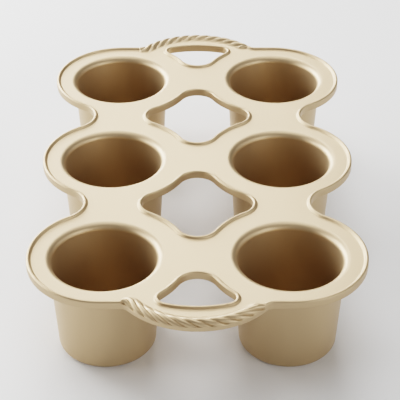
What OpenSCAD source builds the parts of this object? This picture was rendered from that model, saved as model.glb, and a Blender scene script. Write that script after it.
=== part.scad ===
// Six-cup popover pan: one casting with tapered cups, a flat deck with raised lips and two rope handles.
// Millimetres. The cups stand on z = 0, +X is to the right, +Y points to the rear handle.

/* [Cups] */
// Distance between the two rows of cups, centre to centre
cup_pitch_x = 127; // [120:0.5:134]
// Distance from one cup to the next along a row
cup_pitch_y = 123; // [116:0.5:130]
// Height of the flat deck above the table
deck_h = 72.6; // [60:0.1:85]
// Diameter of a cup's mouth where it leaves the flat deck
mouth_d = 82.2; // [76:0.1:86]
// Radius of the rolled mouth, seen from inside the cup
mouth_round = 5.2; // [4:0.1:8]
// Draft of the cup wall, in degrees
cup_draft = 3.4; // [1:0.1:6]
// Outside radius where the wall meets the cup's base
base_round = 5; // [4:0.1:9]
// Thickness of the casting in cups, deck and skirts
wall = 2.2; // [1.8:0.1:2.8]

/* [Outer edge and lips] */
// Deck from a cup's mouth to the pan's outer edge
edge_band = 11.9; // [10:0.1:14]
// Radius of the hollow between two neighbouring cups, seen from outside
neck_r = 19; // [15:0.5:24]
// Height of the raised lip above the deck
lip_h = 1.9; // [1.4:0.1:2.6]
// Radius of the lip's round top
lip_top_r = 1.25; // [0.9:0.05:1.35]
// Radius of the hollow where the lip runs out onto the deck
lip_foot_r = 1.4; // [1:0.1:2]
// How far the skirt hangs below the deck's top face
skirt_drop = 4.4; // [3.6:0.1:7]

/* [Diamond openings] */
// Deck from a cup's mouth to the edge of an opening
opening_band = 17.4; // [16:0.1:19]
// Deck between two openings, along the pan's centre line
cross_band = 42; // [38:0.5:46]
// Distance from a cup's centre line in to the tip of an opening
tip_inset = 23.5; // [21:0.5:26]
// Radius of the left and right tips of a diamond opening
tip_r = 13; // [10:0.5:15]
// Radius of the front and rear ends of a diamond opening
blunt_r = 14; // [11:0.5:16]

/* [Grip openings] */
// Radius of the grip opening's end between the cups
grip_top_r = 14; // [11:0.5:16]
// Radius of the grip opening's two corners
grip_corner_r = 6; // [4:0.5:7]
// Radius of the bowed edge beside the rope
grip_bow_r = 72; // [60:1:90]
// Handle left between the grip opening and the handle's outer edge
grip_rail = 19.9; // [18.5:0.1:22]

/* [Handles] */
// How far a handle stands out beyond the pan's straight end
handle_reach = 22.8; // [20:0.1:26]
// Radius of a handle's outer edge, seen from above
handle_r = 60; // [55:0.5:65]
// Radius of the hollow where a handle leaves the straight end
root_r = 6; // [4:0.5:8]

/* [Rope] */
// Width of the rope, from its outer edge to its foot on the deck
rope_w = 10.5; // [9:0.1:12]
// Height of the rope's crest above the deck
rope_h = 3.2; // [2.6:0.1:4]
// Distance from the rope's outer edge to its crest
rope_crest = 3.9; // [3.2:0.1:4.6]
// Depth of the rope's base below the deck's top face
rope_seat = 1; // [0.4:0.1:1.2]
// Distance from strand to strand along the handle
strand_pitch = 8.8; // [7:0.1:11]
// Angle between a strand and the handle's length
strand_lay = 33; // [25:1:45]
// Depth of the grooves between strands
strand_depth = 1.2; // [0.6:0.1:1.5]

/* [Hidden] */
$fn = 128;

// Flat strip of a cup's mouth beside its roll, gap between two arcs of a lip and reach of a cut past a face
seam_strip = 1.5;
joint_gap = 0.02;
cut_past = 1;

// Largest distance between a round stretch of an outline and its chords
chord_gap = 0.02;
deck_colour = "#e3d8c2";
cup_colour = "#b59d78";
rope_colour = "#d9ccb3";

// Straight steps in the rounded corners of the cup's and the lip's sections
roll_steps = 10;
base_steps = 6;
top_steps = 9;
foot_steps = 5;

// Cups: places, mouth, and the centres of the rolled mouth and of the rounded base in a half section
px = cup_pitch_x / 2;
py = cup_pitch_y;
mouth_r = mouth_d / 2;
flange_r = mouth_r + seam_strip;
roll_c = [mouth_r, -mouth_round];
base_y = base_round - deck_h;
base_in = mouth_round - wall + base_round - (base_y + mouth_round) * sin(cup_draft);
base_c = [mouth_r - base_in / cos(cup_draft), base_y];

// Lip section, measured inwards from the edge: where its hollow ends, and the centres of its top and hollow
lip_c = [lip_top_r, lip_h - lip_top_r];
foot_x = lip_top_r + sqrt(pow(lip_top_r + lip_foot_r, 2) - pow(lip_foot_r - lip_c[1], 2));
foot_c = [foot_x, lip_foot_r];
lip_a = atan2(foot_c[1] - lip_c[1], foot_c[0] - lip_c[0]);

// Outline of the pan, seen from above
ring_r = mouth_r + edge_band;
end_y = py + ring_r;
neck_x = px + sqrt(pow(ring_r + neck_r, 2) - pow(py / 2, 2));
neck_a = atan2(py / 2, neck_x - px);

// Diamond openings: centres of the tip, of the end on the centre line, and of the flank that joins them
hole_r = mouth_r + opening_band;
tip_x = px - tip_inset - tip_r;
blunt_y = (py - cross_band) / 2 - blunt_r;
flank = circle_meet([tip_x, 0], hole_r + tip_r, [0, blunt_y], hole_r + blunt_r);
tip_a = atan2(flank[1], flank[0] - tip_x);
blunt_a = atan2(flank[1] - blunt_y, flank[0]);

// Handles: centre of the arc, centre of the root's hollow and the angle where the handle starts
handle_y = end_y + handle_reach - handle_r;
root_y = end_y + root_r;
root_x = sqrt(pow(handle_r + root_r, 2) - pow(root_y - handle_y, 2));
handle_a = atan2(root_x, root_y - handle_y);
rope_in_r = handle_r - rope_w;

// Grip openings: centres of the end between the cups, of the flank, of the bowed edge and of the corner
grip_top_y = py + cross_band / 2 + grip_top_r;
grip_top_a = atan2(grip_top_y - py, px);
grip_flank = [0, grip_top_y] + (hole_r + grip_top_r) * [cos(grip_top_a), -sin(grip_top_a)];
bow_y = end_y + handle_reach - grip_rail - grip_bow_r;
corner = circle_meet(grip_flank, hole_r + grip_corner_r, [0, bow_y], grip_bow_r - grip_corner_r);
corner_cup_a = atan2(corner[1] - grip_flank[1], grip_flank[0] - corner[0]);
corner_bow_a = atan2(corner[1] - bow_y, corner[0]);

// Meeting point of two circles that lies furthest along +Y
function circle_meet(a, ra, b, rb) =
    let (d = norm(b - a), m = (ra * ra - rb * rb + d * d) / (2 * d), h = sqrt(ra * ra - m * m),
        u = (b - a) / d, p = a + m * u, q = [-u[1], u[0]] * h)
    (p + q)[1] > (p - q)[1] ? p + q : p - q;

function mix(a, b, t) = a * (1 - t) + b * t;
function ease(t) = let (c = min(1, max(0, t))) c * c * (3 - 2 * c);

function on_circle(c, r, a) = c + r * [cos(a), sin(a)];

// Points of an arc round c from angle a0 to a1 in n steps, without the first point
function arc(c, r, a0, a1, n) = [for (i = [1:n]) on_circle(c, r, mix(a0, a1, i / n))];

// The same with steps so short that no chord leaves the arc by more than chord_gap
function fine_arc(c, r, a0, a1) = arc(c, r, a0, a1, ceil(abs(a1 - a0) / (2 * acos(1 - chord_gap / r))));

// Section of the raised lip, with x measured inwards from the edge and z = 0 on the deck
module lip_section() {
    polygon(concat(
        [[0, 0], [foot_x, 0]],
        arc(foot_c, lip_foot_r, 270, 180 + lip_a, foot_steps),
        arc(lip_c, lip_top_r, lip_a, 180, top_steps)));
}

// Lip swept round a centre from angle a0 to a1, with the deck inside the radius, or outside it where hollow.
// Neighbouring arcs stop a hair short of each other.
module lip_arc(c, r, a0, a1, hollow = false) {
    trim = joint_gap / 2 / r * 180 / PI;
    translate([c[0], c[1], deck_h])
        rotate([0, 0, a0 + trim])
            rotate_extrude(angle = a1 - a0 - 2 * trim)
                translate([r, 0])
                    if (hollow) lip_section();
                    else mirror([1, 0]) lip_section();
}

module both_ends() {
    children();
    mirror([0, 1, 0]) children();
}

module both_sides() {
    children();
    mirror([1, 0, 0]) children();
}

// Outer edge of the right side, from the front handle round three cups to the rear handle. Where with_roots
// is false it leaves out the hollows at its two ends, which the blunt ends of the ropes cover.
module side_lip(with_roots) {
    both_ends() {
        if (with_roots) lip_arc([root_x, root_y], root_r, 270 - handle_a, 270, true);
        translate([root_x + joint_gap / 2, end_y, deck_h])
            rotate([90, 0, 90])
                linear_extrude(px - root_x - joint_gap) mirror([1, 0]) lip_section();
        lip_arc([px, py], ring_r, -neck_a, 90);
        lip_arc([neck_x, py / 2], neck_r, 180 - neck_a, 180 + neck_a, true);
    }
    lip_arc([px, 0], ring_r, -neck_a, neck_a);
}

// Edge of the opening between four cups, behind the middle cups
module diamond_lip() {
    translate([0, py / 2, 0]) {
        both_ends() {
            lip_arc([0, blunt_y], blunt_r, blunt_a, 180 - blunt_a, true);
            both_sides() lip_arc(flank, hole_r, 180 + blunt_a, 180 + tip_a);
        }
        both_sides() lip_arc([tip_x, 0], tip_r, -tip_a, tip_a, true);
    }
}

// Edge of the rear grip opening
module grip_lip() {
    lip_arc([0, grip_top_y], grip_top_r, 180 + grip_top_a, 360 - grip_top_a, true);
    both_sides() {
        lip_arc(grip_flank, hole_r, 180 - grip_top_a, 180 - corner_cup_a);
        lip_arc(corner, grip_corner_r, -corner_cup_a, corner_bow_a, true);
    }
    lip_arc([0, bow_y], grip_bow_r, corner_bow_a, 180 - corner_bow_a, true);
}

// Points mirrored left to right or front to back, in the opposite order, without the point on the mirror line
function flip_x(points) = [for (i = [len(points) - 2:-1:0]) [-points[i][0], points[i][1]]];
function flip_y(points) = [for (i = [len(points) - 2:-1:0]) [points[i][0], -points[i][1]]];

// The pan's outline seen from above, drawn in by inset: one quarter, from the middle cup to the rear handle,
// and its mirror images
module outline(inset) {
    quarter = concat(
        fine_arc([px, 0], ring_r - inset, 0, neck_a),
        fine_arc([neck_x, py / 2], neck_r + inset, 180 + neck_a, 180 - neck_a),
        fine_arc([px, py], ring_r - inset, -neck_a, 90),
        [[root_x, end_y - inset]],
        fine_arc([root_x, root_y], root_r + inset, 270, 270 - handle_a),
        fine_arc([0, handle_y], handle_r - inset, 90 - handle_a, 90));
    half = concat(quarter, flip_x(quarter), [[inset - px - ring_r, 0]]);
    polygon(concat(half, flip_y(half), [[px + ring_r - inset, 0]]));
}

// A diamond opening, grown outwards
module diamond_hole(grow) {
    side = concat(
        fine_arc([tip_x, 0], tip_r + grow, 0, tip_a),
        fine_arc(flank, hole_r - grow, 180 + tip_a, 180 + blunt_a),
        fine_arc([0, blunt_y], blunt_r + grow, blunt_a, 90));
    half = concat(side, flip_x(side), [[-tip_x - tip_r - grow, 0]]);
    polygon(concat(half, flip_y(half), [[tip_x + tip_r + grow, 0]]));
}

// The rear grip opening, grown outwards
module grip_hole(grow) {
    side = concat(
        fine_arc([0, grip_top_y], grip_top_r + grow, 270, 360 - grip_top_a),
        fine_arc(grip_flank, hole_r - grow, 180 - grip_top_a, 180 - corner_cup_a),
        fine_arc(corner, grip_corner_r + grow, -corner_cup_a, corner_bow_a),
        fine_arc([0, bow_y], grip_bow_r + grow, corner_bow_a, 90));
    polygon(concat(side, flip_x(side), [[0, grip_top_y - grip_top_r - grow]]));
}

// Where the rear handle's rail and rope take the deck's place
module rope_space() {
    difference() {
        polygon([[0, handle_y], [0, handle_y] + 2 * handle_r * [sin(handle_a), cos(handle_a)],
            [0, handle_y] + 2 * handle_r * [-sin(handle_a), cos(handle_a)]]);
        translate([0, handle_y]) circle(rope_in_r);
    }
}

// Outline of the pan with its two kinds of opening, drawn in by inset
module plan(inset) {
    difference() {
        outline(inset);
        both_ends() {
            translate([0, py / 2]) diamond_hole(inset);
            grip_hole(inset);
        }
    }
}

// Flat plate with a skirt hanging from every edge: a block as deep as the skirts, hollowed from below
module deck() {
    color(deck_colour)
        difference() {
            translate([0, 0, deck_h - skirt_drop])
                linear_extrude(skirt_drop)
                    difference() {
                        plan(0);
                        for (x = [-px, px], y = [-py, 0, py])
                            translate([x, y]) circle(flange_r);
                        both_ends() rope_space();
                    }
            translate([0, 0, deck_h - skirt_drop - cut_past])
                linear_extrude(skirt_drop - wall + cut_past) plan(wall);
        }
}

// Half section of a cup, up its inner face and down its outer one, with its height counted from the deck
module cup_section() {
    polygon(concat(
        [[0, wall - deck_h], [base_c[0], wall - deck_h]],
        arc(base_c, base_round - wall, -90, -cup_draft, base_steps),
        [on_circle(roll_c, mouth_round, 180 - cup_draft)],
        arc(roll_c, mouth_round, 180 - cup_draft, 90, roll_steps),
        [[flange_r, 0], [flange_r, -wall], [mouth_r, -wall]],
        arc(roll_c, mouth_round - wall, 90, 180 - cup_draft, roll_steps),
        [on_circle(base_c, base_round, -cup_draft)],
        arc(base_c, base_round, -cup_draft, -90, base_steps),
        [[0, -deck_h]]));
}

// One tapered cup with its rolled mouth and the ring of deck around it
module cup(column, row) {
    color(cup_colour)
        translate([column * px, row * py, deck_h])
            rotate_extrude() cup_section();
}

// Skirt of the rear handle with the ledge under the rope
module handle_rail() {
    color(deck_colour)
        translate([0, handle_y, deck_h])
            rotate([0, 0, 90 - handle_a])
                rotate_extrude(angle = 2 * handle_a)
                    polygon([[rope_in_r, -rope_seat], [handle_r, -rope_seat], [handle_r, -skirt_drop],
                        [handle_r - wall, -skirt_drop], [handle_r - wall, -wall], [rope_in_r, -wall]]);
}

// Rope section as [distance from the outer edge, height above the deck], for u from 0 at the outer edge to 1
// at the foot: a round crest that runs out to the deck.
function rope_line(u) =
    u < 0.5
        ? [rope_crest * (1 - cos(180 * u)), (rope_h + rope_seat) * sin(180 * u) - rope_seat]
        : [mix(rope_crest, rope_w, 2 * u - 1), rope_h * (1 + cos(180 * (2 * u - 1))) / 2];

// The lip's section in the same terms, from a height low up its face, over its round top and down its hollow
face_v = 0.18;
top_v = 0.65;
function lip_line(v, low) =
    v < face_v ? [0, mix(low, lip_c[1], v / face_v)]
    : v < top_v ? on_circle(lip_c, lip_top_r, mix(180, lip_a, (v - face_v) / (top_v - face_v)))
    : on_circle(foot_c, lip_foot_r, mix(180 + lip_a, 270, (v - top_v) / (1 - top_v)));

// The same with the strip of deck beside it, as wide as the rope. The rope's right end runs out into it.
foot_u = 0.85;
function tail_line(u) =
    u < foot_u ? lip_line(u / foot_u, -rope_seat) : [mix(foot_x, rope_w, (u - foot_u) / (1 - foot_u)), 0];

// Strands wind over the crest: where the first one starts, how full they are, and the shares of the section
// over which a groove fades out
strand_start = 0.84;
strand_fill = 2.2;
edge_fade = 0.06;
foot_fade = 0.35;
crest_run = PI * (rope_crest + rope_h + rope_seat) / 4;

// 1 on a strand's crest and 0 in the groove beside it, at s along the crest
function strand(s, u) =
    let (p = (s + 2 * u * crest_run / tan(strand_lay)) / strand_pitch + strand_start)
    1 - pow(abs(2 * (p - floor(p)) - 1), strand_fill);

// Section point q with its groove cut towards the rope's underside
function carved(q, u, s, fade) =
    let (depth = strand_depth * (1 - strand(s, u)) * ease((1 - u) / foot_fade) * ease(u / edge_fade),
        n = q - [rope_crest, -2 * rope_seat])
    q - n / norm(n) * depth * ease(fade);

// Rope along the rear handle, at t from -1 to 1. It runs out to the right over tail_fade of its half length,
// and its grooves over the last tail_plain.
tail_fade = 0.11;
tail_plain = 0.04;
function rail_place(a, q) = [(handle_r - q[0]) * sin(a), (handle_r - q[0]) * cos(a), q[1]];
function rope_point(t, u) =
    let (a = t * handle_a, q = mix(tail_line(u), rope_line(u), ease((1 - t) / tail_fade)))
    rail_place(a, carved(q, u, a * PI / 180 * (handle_r - rope_crest), (1 - t) / tail_plain));

// Blunt left end of the rope, which stands on the deck in the hollow beside the handle. w runs from 0 at the
// handle to 1 where the lip begins, and the grooves fade out over the last nose_plain.
nose_plain = 0.25;
deck_u = asin(rope_seat / (rope_h + rope_seat)) / 180;
function nose_place(w, q) =
    let (b = handle_a * (1 - w))
    [(root_r + q[0]) * sin(b) - root_x, root_y - handle_y - (root_r + q[0]) * cos(b), q[1]];
function nose_point(w, v) =
    let (u = mix(deck_u, 1, v), q = mix(lip_line(v, 0), rope_line(u), sqrt(1 - w * w)),
        s = -handle_a * PI / 180 * (handle_r - rope_crest + w * (root_r + rope_crest)))
    nose_place(w, carved(q, u, s, (1 - w) / nose_plain));

// Closed solid through rings of points. The last point of a ring lies in sight of all the others.
module ring_solid(points, size) {
    last = len(points) - size;
    hub = size - 1;
    sides = [for (a = [0:size:last - size], j = [0:hub]) let (k = (j + 1) % size)
        each [[a + j, a + k, a + size + k], [a + j, a + size + k, a + size + j]]];
    caps = [for (j = [0:hub - 2]) each [[hub, j + 1, j], [last + hub, last + j, last + j + 1]]];
    polyhedron(points, concat(sides, caps));
}

// The rear handle's rope, from left to right: its blunt end, and its length on the handle's ledge
module rope() {
    rope_rings = 84;
    nose_rings = 14;
    steps = 24;
    hair = joint_gap / (root_r + rope_w);
    color(rope_colour)
        translate([0, handle_y, deck_h]) {
            ring_solid([for (i = [nose_rings:-1:0]) let (w = mix(hair, 1 - hair, sin(90 * i / nose_rings)))
                each concat([for (j = [0:steps]) nose_point(w, j / steps)],
                    [nose_place(w, [lip_top_r, 0])])],
                steps + 2);
            ring_solid([for (i = [0:rope_rings]) let (t = 2 * i / rope_rings - 1)
                each concat([for (j = [0:steps]) rope_point(t, j / steps)],
                    [for (x = [rope_w, lip_top_r]) rail_place(t * handle_a, [x, -rope_seat])])],
                steps + 3);
        }
}

deck();
cup(-1, -1);  // cup_front_left
cup(1, -1);  // cup_front_right
cup(-1, 0);  // cup_middle_left
cup(1, 0);  // cup_middle_right
cup(-1, 1);  // cup_rear_left
cup(1, 1);  // cup_rear_right
mirror([1, 0, 0]) side_lip(false);  // left_lip
side_lip(true);  // right_lip
mirror([0, 1, 0]) diamond_lip();  // front_diamond_lip
diamond_lip();  // rear_diamond_lip
mirror([0, 1, 0]) grip_lip();  // front_grip_lip
grip_lip();  // rear_grip_lip
mirror([0, 1, 0]) handle_rail();  // front_handle
handle_rail();  // rear_handle
mirror([0, 1, 0]) rope();  // front_rope
rope();  // rear_rope
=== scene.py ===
from math import asin, atan2, ceil, cos, hypot, pi, radians, sin, sqrt, tan

import bmesh
import bpy
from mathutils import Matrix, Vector
from mathutils.geometry import tessellate_polygon


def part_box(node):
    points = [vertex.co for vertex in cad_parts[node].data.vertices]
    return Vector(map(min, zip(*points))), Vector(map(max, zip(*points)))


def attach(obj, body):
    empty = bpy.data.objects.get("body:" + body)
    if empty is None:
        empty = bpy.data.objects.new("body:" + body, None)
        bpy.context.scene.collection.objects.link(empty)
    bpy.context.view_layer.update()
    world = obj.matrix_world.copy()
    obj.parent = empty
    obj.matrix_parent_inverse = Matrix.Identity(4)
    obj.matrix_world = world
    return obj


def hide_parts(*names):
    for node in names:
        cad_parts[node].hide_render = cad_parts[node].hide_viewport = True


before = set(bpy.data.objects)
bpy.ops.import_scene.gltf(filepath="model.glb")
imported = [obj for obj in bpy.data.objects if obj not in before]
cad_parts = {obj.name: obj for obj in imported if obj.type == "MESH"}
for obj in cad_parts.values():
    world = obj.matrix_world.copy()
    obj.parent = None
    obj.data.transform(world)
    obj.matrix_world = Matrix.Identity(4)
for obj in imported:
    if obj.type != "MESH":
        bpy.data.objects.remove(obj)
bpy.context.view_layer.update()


# Cups: six tapered wells, two across and three along, that are one casting with the rest of the pan.
# Sand-cast aluminium with a rolled mouth and a rounded base, blasted, then coated with a baked-on
# champagne non-stick finish. Each is drawn as a closed half section turned about its own axis.
MM = 0.001
wall = 2.2
mouth_round = 5.2
mouth_strip = 1.5
cup_draft = radians(3.4)
base_round = 5.0
turn_steps = 192
base_steps, roll_steps, under_steps = 12, 24, 16
sharp_angle = radians(38)
weld_distance = 0.002


def box_mm(node):
    """Lowest and highest corner of a CAD node, in millimetres."""
    low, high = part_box(node)
    return low / MM, high / MM


def arc(centre, radius, start, stop, steps):
    """Points of an arc in a plane, both ends included."""
    angles = [start + (stop - start) * i / steps for i in range(steps + 1)]
    return [(centre[0] + radius * cos(a), centre[1] + radius * sin(a)) for a in angles]


def piece_from(name, points, faces, node_names, finish):
    """A smooth-shaded piece from points in millimetres, in place of CAD nodes, on the pan's one body."""
    mesh = bpy.data.meshes.new(name)
    mesh.from_pydata([(x * MM, y * MM, z * MM) for x, y, z in points], [], faces)
    welded = bmesh.new()
    welded.from_mesh(mesh)
    bmesh.ops.remove_doubles(welded, verts=welded.verts, dist=weld_distance * MM)
    bmesh.ops.recalc_face_normals(welded, faces=welded.faces)
    welded.to_mesh(mesh)
    welded.free()
    mesh.shade_smooth()
    mesh.set_sharp_from_angle(angle=sharp_angle)
    mesh.materials.append(finish)
    piece = bpy.data.objects.new(name, mesh)
    bpy.context.scene.collection.objects.link(piece)
    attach(piece, "root")
    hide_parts(*node_names)


def lathe(section, centre):
    """Points and faces of a half section (radius, height) turned about an upright axis."""
    rows = [
        [(centre[0] + r * cos(2 * pi * k / turn_steps), centre[1] + r * sin(2 * pi * k / turn_steps), z)
         for k in range(turn_steps)]
        for r, z in section
    ]
    points = [point for row in rows for point in row]
    faces = []
    for i in range(len(section) - 1):
        for k in range(turn_steps):
            a, b = i * turn_steps + k, i * turn_steps + (k + 1) % turn_steps
            faces.append((a, b, b + turn_steps, a + turn_steps))
    return points, faces


class Wire:
    """A shader socket that takes part in sums: each sum, difference or product adds a Math node."""

    def __init__(self, tree, socket=None):
        self.tree = tree
        self.socket = socket

    def node(self, kind, settings, sockets, output=0):
        """Adds a node: its settings first, then the values or links of its sockets."""
        made = self.tree.nodes.new(kind)
        for name, value in settings.items():
            setattr(made, name, value)
        for name, value in sockets.items():
            if isinstance(value, Wire):
                self.tree.links.new(value.socket, made.inputs[name])
            else:
                made.inputs[name].default_value = value
        return Wire(self.tree, made.outputs[output])

    def math(self, operation, first, second):
        return self.node("ShaderNodeMath", {"operation": operation}, {0: first, 1: second})

    def __add__(self, other):
        return self.math("ADD", self, other)

    def __radd__(self, other):
        return self.math("ADD", other, self)

    def __sub__(self, other):
        return self.math("SUBTRACT", self, other)

    def __rsub__(self, other):
        return self.math("SUBTRACT", other, self)

    def __mul__(self, other):
        return self.math("MULTIPLY", self, other)

    def __rmul__(self, other):
        return self.math("MULTIPLY", other, self)


def champagne(name, tint, roughness):
    """Satin champagne non-stick coat: cloudy tone, fine metallic grain and a faint blasted texture."""
    material = bpy.data.materials.new(name)
    material.use_nodes = True
    tree = material.node_tree
    shader = tree.nodes["Principled BSDF"]
    wire = Wire(tree)
    tone_spread, grain_share, cloud_share = 0.05, 0.4, 0.6
    grain_gloss, cloud_gloss = 0.1, 0.06
    place = wire.node("ShaderNodeTexCoord", {}, {}, "Object")
    cloud = wire.node("ShaderNodeTexNoise", {}, {"Vector": place, "Scale": 22.0, "Detail": 3.0})
    grain = wire.node("ShaderNodeTexNoise", {}, {"Vector": place, "Scale": 1500.0, "Detail": 2.0})
    blast = wire.node("ShaderNodeTexNoise", {}, {"Vector": place, "Scale": 620.0, "Detail": 4.0})
    shade = cloud * cloud_share + grain * grain_share
    dark = [c * (1 - tone_spread) for c in tint] + [1.0]
    light = [c * (1 + tone_spread) for c in tint] + [1.0]
    colour = wire.node("ShaderNodeMix", {"data_type": "RGBA"}, {"Factor": shade, 6: dark, 7: light}, 2)
    tree.links.new(colour.socket, shader.inputs["Base Color"])
    gloss = roughness + (grain - 0.5) * grain_gloss + (cloud - 0.5) * cloud_gloss
    tree.links.new(gloss.socket, shader.inputs["Roughness"])
    bump = wire.node("ShaderNodeBump", {}, {"Height": blast, "Strength": 0.12, "Distance": 0.0001})
    tree.links.new(bump.socket, shader.inputs["Normal"])
    shader.inputs["Metallic"].default_value = 0.75
    return material


def cup_section(deck_top, flange_r):
    """Half section of a cup as (radius, height), up its inner face and down its outer one."""
    mouth_r = flange_r - mouth_strip
    roll = (mouth_r, deck_top - mouth_round)
    inset = mouth_round - wall + base_round + (deck_top - base_round - mouth_round) * sin(cup_draft)
    base = (mouth_r - inset / cos(cup_draft), base_round)
    return (
        [(0, wall)]
        + arc(base, base_round - wall, -pi / 2, -cup_draft, base_steps)
        + arc(roll, mouth_round, pi - cup_draft, pi / 2, roll_steps)
        + [(flange_r, deck_top), (flange_r, deck_top - wall)]
        + arc(roll, mouth_round - wall, pi / 2, pi - cup_draft, under_steps)
        + arc(base, base_round, -cup_draft, -pi / 2, under_steps)
        + [(0, 0)]
    )


coat = champagne("champagne_coat", (0.527, 0.395, 0.245), 0.46)
cup_centres = {}
for row in ("front", "middle", "rear"):
    for side in ("left", "right"):
        node = f"cup_{row}_{side}"
        low, high = box_mm(node)
        cup_centres[node] = ((low.x + high.x) / 2, (low.y + high.y) / 2)
        flange_r = (high.x - low.x) / 2
        deck_top = high.z
        points, faces = lathe(cup_section(deck_top, flange_r), cup_centres[node])
        piece_from(f"{node}_cast", points, faces, [node], coat)


# Lips along the outer edge: a round raised bead that follows the scalloped outline on each side.
# Cast in one with the deck, which keeps the thin plate stiff. Swept as one section along the outline, from
# one handle round three cups to the other. On the left the blunt ends of the ropes cover its two hollows.
px, py = cup_centres["cup_rear_right"]
mouth_r = flange_r - mouth_strip
edge_band = 11.9
neck_r = 19.0
root_r = 6.0
handle_r = 60.0
handle_reach = 22.8
lip_top_r = 1.25
lip_foot_r = 1.4
lip_top_steps, lip_foot_steps = 18, 12
sweep_step = 1.2

lip_h = box_mm("right_lip")[1].z - deck_top
lip_c = (lip_top_r, lip_h - lip_top_r)
foot_x = lip_top_r + sqrt((lip_top_r + lip_foot_r) ** 2 - (lip_foot_r - lip_c[1]) ** 2)
foot_c = (foot_x, lip_foot_r)
lip_a = atan2(foot_c[1] - lip_c[1], foot_c[0] - lip_c[0])
ring_r = mouth_r + edge_band
end_y = py + ring_r
neck_x = px + sqrt((ring_r + neck_r) ** 2 - (py / 2) ** 2)
neck_a = atan2(py / 2, neck_x - px)
handle_y = end_y + handle_reach - handle_r
root_y = end_y + root_r
root_x = sqrt((handle_r + root_r) ** 2 - (root_y - handle_y) ** 2)
handle_a = atan2(root_x, root_y - handle_y)


def edge_arc(centre, radius, start, stop, hollow=False):
    """Stations along an arc of an edge, each a place and the direction into the deck."""
    steps = max(8, ceil(radius * abs(stop - start) / sweep_step))
    into = 1 if hollow else -1
    angles = [start + (stop - start) * i / steps for i in range(steps + 1)]
    return [
        (centre[0] + radius * cos(a), centre[1] + radius * sin(a), into * cos(a), into * sin(a))
        for a in angles
    ]


def edge_line(first, last, into):
    """Stations along a straight stretch of an edge."""
    steps = ceil(hypot(last[0] - first[0], last[1] - first[1]) / sweep_step)
    return [
        (first[0] + (last[0] - first[0]) * i / steps, first[1] + (last[1] - first[1]) * i / steps, *into)
        for i in range(steps + 1)
    ]


def joined(*runs):
    """One run of stations from several that meet end to end."""
    whole = list(runs[0])
    for run in runs[1:]:
        whole += run[1:]
    return whole


def flip_x(run):
    """The same run on the other side of the pan, left for right."""
    return [(-x, y, -nx, ny) for x, y, nx, ny in reversed(run)]


def flip_y(run):
    """The same run at the other end of the pan, front for rear."""
    return [(x, -y, nx, -ny) for x, y, nx, ny in reversed(run)]


def sweep(section, run, closed):
    """Points and faces of a closed section (inwards, height) carried along an edge."""
    points = [(x + nx * s, y + ny * s, deck_top + z) for x, y, nx, ny in run for s, z in section]
    size, count = len(section), len(run)
    faces = []
    for i in range(count if closed else count - 1):
        for j in range(size):
            a, b = i * size + j, i * size + (j + 1) % size
            c, d = (i + 1) % count * size + (j + 1) % size, (i + 1) % count * size + j
            faces.append((a, b, c, d))
    if not closed:
        faces.append(tuple(range(size)))
        faces.append(tuple(reversed(range((count - 1) * size, count * size))))
    return points, faces


lip_section = (
    [(0, 0)]
    + arc(lip_c, lip_top_r, pi, lip_a, lip_top_steps)
    + arc(foot_c, lip_foot_r, pi + lip_a, 3 * pi / 2, lip_foot_steps)[1:]
)
quarter_run = joined(
    edge_arc((px, 0), ring_r, 0, neck_a),
    edge_arc((neck_x, py / 2), neck_r, pi + neck_a, pi - neck_a, True),
    edge_arc((px, py), ring_r, -neck_a, pi / 2),
    edge_line((px, end_y), (root_x, end_y), (0, -1)),
)
quarter_rim = joined(quarter_run, edge_arc((root_x, root_y), root_r, 3 * pi / 2, 3 * pi / 2 - handle_a, True))
side_run = joined(flip_y(quarter_rim), quarter_rim)
left_lip_run = flip_x(joined(flip_y(quarter_run), quarter_run))
for side, run in (("right", side_run), ("left", left_lip_run)):
    points, faces = sweep(lip_section, run, False)
    piece_from(f"{side}_lip_cast", points, faces, [f"{side}_lip"], coat)


# Lips round the two diamond openings between four cups, where hot air rises between the wells.
# The same bead, cast round an edge of four shallow arcs joined by four round tips.
opening_band = 17.4
cross_band = 42.0
tip_inset = 23.5
tip_r = 13.0
blunt_r = 14.0


def circle_meet(a, ra, b, rb):
    """Meeting point of two circles that lies furthest along +Y."""
    dx, dy = b[0] - a[0], b[1] - a[1]
    d = hypot(dx, dy)
    m = (ra * ra - rb * rb + d * d) / (2 * d)
    h = sqrt(ra * ra - m * m)
    spots = [(a[0] + m * dx / d - s * h * dy / d, a[1] + m * dy / d + s * h * dx / d) for s in (1, -1)]
    return max(spots, key=lambda spot: spot[1])


hole_r = mouth_r + opening_band
tip_x = px - tip_inset - tip_r
blunt_y = (py - cross_band) / 2 - blunt_r
flank = circle_meet((tip_x, 0), hole_r + tip_r, (0, blunt_y), hole_r + blunt_r)
tip_a = atan2(flank[1], flank[0] - tip_x)
blunt_a = atan2(flank[1] - blunt_y, flank[0])
diamond_quarter = joined(
    edge_arc((tip_x, 0), tip_r, 0, tip_a, True),
    edge_arc(flank, hole_r, pi + tip_a, pi + blunt_a),
    edge_arc((0, blunt_y), blunt_r, blunt_a, pi / 2, True),
)
diamond_half = joined(diamond_quarter, flip_x(diamond_quarter))
diamond_run = joined(diamond_half, flip_y(diamond_half))[:-1]
diamond_runs = {}
for end, offset in (("rear", py / 2), ("front", -py / 2)):
    diamond_runs[end] = [(x, y + offset, nx, ny) for x, y, nx, ny in diamond_run]
    points, faces = sweep(lip_section, diamond_runs[end], True)
    piece_from(f"{end}_diamond_lip_cast", points, faces, [f"{end}_diamond_lip"], coat)


# Lips round the two grip openings, where the fingers of an oven glove go behind a handle.
# The same cast bead on a three-cornered edge: one round end between the cups and a bowed edge by the rope.
grip_top_r = 14.0
grip_corner_r = 6.0
grip_bow_r = 72.0
grip_rail = 19.9

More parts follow.
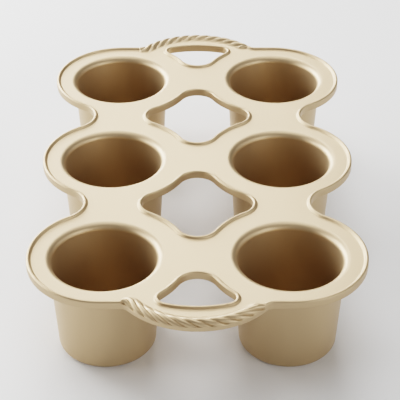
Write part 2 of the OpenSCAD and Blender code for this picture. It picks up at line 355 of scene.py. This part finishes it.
grip_top_y = py + cross_band / 2 + grip_top_r
grip_top_a = atan2(grip_top_y - py, px)
reach = hole_r + grip_top_r
grip_flank = (reach * cos(grip_top_a), grip_top_y - reach * sin(grip_top_a))
bow_y = end_y + handle_reach - grip_rail - grip_bow_r
corner = circle_meet(grip_flank, hole_r + grip_corner_r, (0, bow_y), grip_bow_r - grip_corner_r)
corner_cup_a = atan2(corner[1] - grip_flank[1], grip_flank[0] - corner[0])
corner_bow_a = atan2(corner[1] - bow_y, corner[0])
grip_half = joined(
    edge_arc((0, grip_top_y), grip_top_r, 3 * pi / 2, 2 * pi - grip_top_a, True),
    edge_arc(grip_flank, hole_r, pi - grip_top_a, pi - corner_cup_a),
    edge_arc(corner, grip_corner_r, -corner_cup_a, corner_bow_a, True),
    edge_arc((0, bow_y), grip_bow_r, corner_bow_a, pi / 2, True),
)
grip_run = joined(grip_half, flip_x(grip_half))[:-1]
grip_runs = {"rear": grip_run, "front": flip_y(grip_run)}
for end, run in grip_runs.items():
    points, faces = sweep(lip_section, run, True)
    piece_from(f"{end}_grip_lip_cast", points, faces, [f"{end}_grip_lip"], coat)


# Deck: the flat plate that ties the six cups together, with a short skirt hanging from every edge.
# Part of the same casting, about 2 mm thick, with eased lower edges and a fillet where a skirt meets the
# plate. Drawn as a skirt swept round each edge, closed by a flat top and a flat underside.
edge_ease = 0.9
inner_ease = 0.6
fillet_r = 1.1
rope_w = 10.5
rope_in_r = handle_r - rope_w
ease_steps, fillet_steps, notch_steps = 5, 6, 80

skirt_drop = deck_top - box_mm("deck")[0].z
skirt_section = (
    [(0, 0)]
    + arc((edge_ease, edge_ease - skirt_drop), edge_ease, pi, 3 * pi / 2, fillet_steps)
    + arc((wall - inner_ease, inner_ease - skirt_drop), inner_ease, -pi / 2, 0, ease_steps)
    + arc((wall + fillet_r, -wall - fillet_r), fillet_r, pi, pi / 2, fillet_steps)
)
deck_points = []
deck_faces = []


def hang_skirt(run, closed):
    """Skirt below an edge. Gives back each station's point numbers, from the deck's top to its underside."""
    start, size, count = len(deck_points), len(skirt_section), len(run)
    for x, y, nx, ny in run:
        deck_points.extend((x + nx * s, y + ny * s, deck_top + z) for s, z in skirt_section)
    for i in range(count if closed else count - 1):
        for j in range(size - 1):
            a, b = start + i * size + j, start + (i + 1) % count * size + j
            deck_faces.append((a, a + 1, b + 1, b))
    return [[start + i * size + j for j in range(size)] for i in range(count)]


def joint_face(outline, closed):
    """Upright face through the plate where another part of the casting takes over."""
    start, count = len(deck_points), len(outline)
    for x, y in outline:
        deck_points.extend([(x, y, deck_top), (x, y, deck_top - wall)])
    for i in range(count if closed else count - 1):
        a, b = start + 2 * i, start + 2 * ((i + 1) % count)
        deck_faces.append((a, a + 1, b + 1, b))
    return [[start + 2 * i, start + 2 * i + 1] for i in range(count)]


def fill(loops):
    """Flat face inside the first loop of point numbers and outside the others."""
    numbers = [number for loop in loops for number in loop]
    outlines = [[Vector((deck_points[n][0], deck_points[n][1], 0)) for n in loop] for loop in loops]
    deck_faces.extend(tuple(numbers[i] for i in face) for face in tessellate_polygon(outlines))


notch = arc((0, handle_y), rope_in_r, pi / 2 - handle_a, pi / 2 + handle_a, notch_steps)
rear_joint = joint_face(notch, False)
front_joint = joint_face([(x, -y) for x, y in reversed(notch)], False)
right_skirt = hang_skirt(side_run, False)
left_skirt = hang_skirt(flip_x(side_run), False)
for skirt_end, joint_end in (
    (right_skirt[-1], rear_joint[0]),
    (left_skirt[0], rear_joint[-1]),
    (left_skirt[-1], front_joint[0]),
    (right_skirt[0], front_joint[-1]),
):
    deck_faces.append((*skirt_end, joint_end[1], joint_end[0]))
loops = [right_skirt + rear_joint + left_skirt + front_joint]
loops += [hang_skirt(run, True) for runs in (diamond_runs, grip_runs) for run in runs.values()]
for centre in cup_centres.values():
    loops.append(joint_face(arc(centre, flange_r, 0, 2 * pi, turn_steps)[:-1], True))
for level in (0, -1):
    fill([[station[level] for station in loop] for loop in loops])
piece_from("deck_cast", deck_points, deck_faces, ["deck"], coat)


# Handle rails: the bowed bar under each rope, with the same skirt as the deck and a ledge that the rope's
# underside sits on. Cast with the deck. Swept as one section along the handle's arc.
rope_seat = 1.0
rail_section = [(0, -rope_seat)] + skirt_section[1:] + [(rope_w, -wall), (rope_w, -rope_seat)]
rear_rail = edge_arc((0, handle_y), handle_r, pi / 2 - handle_a, pi / 2 + handle_a)
for end, run in (("rear", rear_rail), ("front", flip_y(rear_rail))):
    points, faces = sweep(rail_section, run, False)
    piece_from(f"{end}_handle_cast", points, faces, [f"{end}_handle"], coat)


# Ropes: a twisted-rope relief along the outer top edge of each handle, which gives an oven glove a hold.
# Cast with the handle and coated like the rest. Rounded strands lie at a slant over a full round crest, from
# a blunt left end in the hollow beside the handle to a right end that runs out into the lip.
rope_crest = 3.9
strand_pitch = 8.8
strand_lay = radians(33)
strand_depth = 1.2
strand_start = 0.84
strand_fill = 2.2
# Shares of the rope's section and of the handle's half length over which grooves fade and forms merge
edge_fade = 0.06
foot_fade = 0.35
tail_fade = 0.11
tail_plain = 0.04
nose_plain = 0.25
# Shares of the lip's section at which its top and its hollow begin, and of the rope's where the lip ends
face_v, top_v, foot_u = 0.18, 0.65, 0.85
rope_rings = 560
nose_rings = 90
rope_steps = 56

rope_h = box_mm("rear_rope")[1].z - deck_top
crest_run = pi * (rope_crest + rope_h + rope_seat) / 4
deck_u = asin(rope_seat / (rope_h + rope_seat)) / pi


def mix(a, b, t):
    """From a at t = 0 to b at t = 1."""
    return a * (1 - t) + b * t


def ease(t):
    """From 0 to 1 with a soft start and end, and level beyond them."""
    t = min(1.0, max(0.0, t))
    return t * t * (3 - 2 * t)


def rope_line(u):
    """The rope's own section as (inwards, height), from its outer edge at u = 0 to its foot at u = 1."""
    if u < 0.5:
        return rope_crest * (1 - cos(pi * u)), (rope_h + rope_seat) * sin(pi * u) - rope_seat
    return mix(rope_crest, rope_w, 2 * u - 1), rope_h * (1 + cos(pi * (2 * u - 1))) / 2


def lip_line(v, low):
    """The lip's section in the same terms, from a height low up its face to the end of its hollow."""
    if v < face_v:
        return 0.0, mix(low, lip_c[1], v / face_v)
    if v < top_v:
        a = mix(pi, lip_a, (v - face_v) / (top_v - face_v))
        return lip_c[0] + lip_top_r * cos(a), lip_c[1] + lip_top_r * sin(a)
    a = mix(pi + lip_a, 3 * pi / 2, (v - top_v) / (1 - top_v))
    return foot_c[0] + lip_foot_r * cos(a), foot_c[1] + lip_foot_r * sin(a)


def tail_line(u):
    """The lip's section with the strip of deck beside it, as wide as the rope."""
    if u < foot_u:
        return lip_line(u / foot_u, -rope_seat)
    return mix(foot_x, rope_w, (u - foot_u) / (1 - foot_u)), 0.0


def carved(first, second, share, u, s, fade):
    """A point between two sections, with its share of the second, and its groove cut at s along the crest."""
    inwards, height = mix(first[0], second[0], share), mix(first[1], second[1], share)
    p = (s + 2 * u * crest_run / tan(strand_lay)) / strand_pitch + strand_start
    off_crest = abs(2 * (p % 1) - 1) ** strand_fill
    depth = strand_depth * off_crest * ease((1 - u) / foot_fade) * ease(u / edge_fade) * ease(fade)
    over, above = inwards - rope_crest, height + 2 * rope_seat
    cut = depth / hypot(over, above)
    return inwards - over * cut, height - above * cut


def on_rail(a, inwards, height):
    """Point over the rear handle, at an angle from its middle."""
    r = handle_r - inwards
    return r * sin(a), handle_y + r * cos(a), deck_top + height


def rope_point(t, u):
    """Point of the rear rope on the handle, at t from -1 to 1."""
    a = t * handle_a
    full = ease((1 - t) / tail_fade)
    s = a * (handle_r - rope_crest)
    return on_rail(a, *carved(tail_line(u), rope_line(u), full, u, s, (1 - t) / tail_plain))


def in_hollow(w, inwards, height):
    """Point in the hollow left of the rear handle, with w from 0 at the handle to 1 where the lip begins."""
    b = handle_a * (1 - w)
    r = root_r + inwards
    return r * sin(b) - root_x, root_y - r * cos(b), deck_top + height


def nose_point(w, v):
    """Point of the rear rope's blunt end."""
    u = mix(deck_u, 1, v)
    s = -handle_a * (handle_r - rope_crest + w * (root_r + rope_crest))
    return in_hollow(w, *carved(lip_line(v, 0), rope_line(u), sqrt(1 - w * w), u, s, (1 - w) / nose_plain))


def ring_piece(rings):
    """Points and faces of a closed piece through rings of points."""
    size, count = len(rings[0]), len(rings)
    faces = [
        (i * size + j, i * size + (j + 1) % size, (i + 1) * size + (j + 1) % size, (i + 1) * size + j)
        for i in range(count - 1)
        for j in range(size)
    ]
    faces.append(tuple(range(size)))
    faces.append(tuple(reversed(range((count - 1) * size, count * size))))
    return [point for ring in rings for point in ring], faces


shares = [j / rope_steps for j in range(rope_steps + 1)]
nose_stations = [sin(pi / 2 * i / nose_rings) for i in range(nose_rings, -1, -1)]
rail_stations = [2 * i / rope_rings - 1 for i in range(rope_rings + 1)]
nose_points, nose_faces = ring_piece([[nose_point(w, v) for v in shares] for w in nose_stations])
rope_points, rope_faces = ring_piece([
    [rope_point(t, u) for u in shares] + [on_rail(t * handle_a, s, -rope_seat) for s in (rope_w, lip_top_r)]
    for t in rail_stations
])
rope_faces += [tuple(len(rope_points) + n for n in face) for face in nose_faces]
for end, way in (("rear", 1), ("front", -1)):
    points = [(x, way * y, z) for x, y, z in rope_points + nose_points]
    piece_from(f"{end}_rope_cast", points, rope_faces, [f"{end}_rope"], coat)


# Studio: a plain pale table top, soft windows behind and to the left as in the photograph, weak soft cards
# overhead and at the front right, and the camera where the photograph was taken from. A pale backdrop, which
# lights nothing, shows above the table's far end in level views.
table_reach = 4.0
room_light, backdrop_light = 0.004, 0.75
view_place, view_height = (0.0004, -0.8563), 0.546
view_tilt, view_turn = 0.5987, 0.0019

floor_mesh = bpy.data.meshes.new("table_top")
floor_corners = [(-table_reach, -table_reach, 0), (table_reach, -table_reach, 0)]
floor_corners += [(table_reach, table_reach, 0), (-table_reach, table_reach, 0)]
floor_mesh.from_pydata(floor_corners, [], [(0, 1, 2, 3)])
floor_finish = bpy.data.materials.new("pale_table_top")
floor_finish.use_nodes = True
floor_shader = floor_finish.node_tree.nodes["Principled BSDF"]
floor_shader.inputs["Base Color"].default_value = (0.86, 0.86, 0.86, 1)
floor_shader.inputs["Roughness"].default_value = 0.55
floor_mesh.materials.append(floor_finish)
floor = bpy.data.objects.new("table_top", floor_mesh)
bpy.context.scene.collection.objects.link(floor)


def soft_light(name, place, size, power):
    """A rectangular soft light at a place, as wide and high as its size in metres, turned to the pan."""
    lamp = bpy.data.lights.new(name, "AREA")
    lamp.shape = "RECTANGLE"
    lamp.size, lamp.size_y = size
    lamp.energy = power
    light = bpy.data.objects.new(name, lamp)
    light.location = place
    light.rotation_euler = (Vector((0, 0, 0.05)) - light.location).to_track_quat("-Z", "Y").to_euler()
    bpy.context.scene.collection.objects.link(light)


soft_light("back_window", (0, 2.4, 1.7), (0.9, 0.9), 18.9)
soft_light("low_window", (-0.9, 2.3, 0.7), (0.9, 0.9), 32.2)
soft_light("left_window", (-1.9, 1.6, 0.9), (1.3, 1.2), 72.8)
soft_light("left_wall", (-2.4, 0.1, 0.8), (1.8, 1.3), 36.1)
soft_light("right_wall", (2.4, 0.1, 0.8), (1.8, 1.3), 8.6)
soft_light("overhead", (0, 0.1, 2.4), (1.6, 1.4), 14.7)
soft_light("overhead_back", (0, 1.6, 2.4), (1.4, 1.2), 16.1)
soft_light("ceiling", (0, 0.4, 2.2), (3.0, 2.6), 6.4)
soft_light("front_card", (0, -2.2, 1.3), (1.8, 1.0), 4.8)
soft_light("front_right_card", (1.8, -1.6, 0.9), (1.4, 1.2), 19.7)

world = bpy.data.worlds.new("studio")
world.use_nodes = True
studio_nodes, studio_links = world.node_tree.nodes, world.node_tree.links
room = studio_nodes["Background"]
room.inputs["Color"].default_value = (1, 1, 1, 1)
room.inputs["Strength"].default_value = room_light
backdrop = studio_nodes.new("ShaderNodeBackground")
backdrop.inputs["Color"].default_value = (1, 1, 1, 1)
backdrop.inputs["Strength"].default_value = backdrop_light
ray = studio_nodes.new("ShaderNodeLightPath")
choice = studio_nodes.new("ShaderNodeMixShader")
studio_links.new(ray.outputs["Is Camera Ray"], choice.inputs["Fac"])
studio_links.new(room.outputs["Background"], choice.inputs[1])
studio_links.new(backdrop.outputs["Background"], choice.inputs[2])
studio_links.new(choice.outputs["Shader"], studio_nodes["World Output"].inputs["Surface"])
bpy.context.scene.world = world
look = bpy.context.scene.view_settings
look.view_transform = "Filmic"
look.look = "High Contrast"

camera_data = bpy.data.cameras.new("camera")
camera_data.sensor_width = 36.0
camera_data.lens = 120.8
camera = bpy.data.objects.new("camera", camera_data)
camera.location = (*view_place, view_height + deck_top * MM)
camera.rotation_euler = (pi / 2 - view_tilt, 0, -view_turn)
bpy.context.scene.collection.objects.link(camera)
bpy.context.scene.camera = camera

bpy.context.view_layer.update()
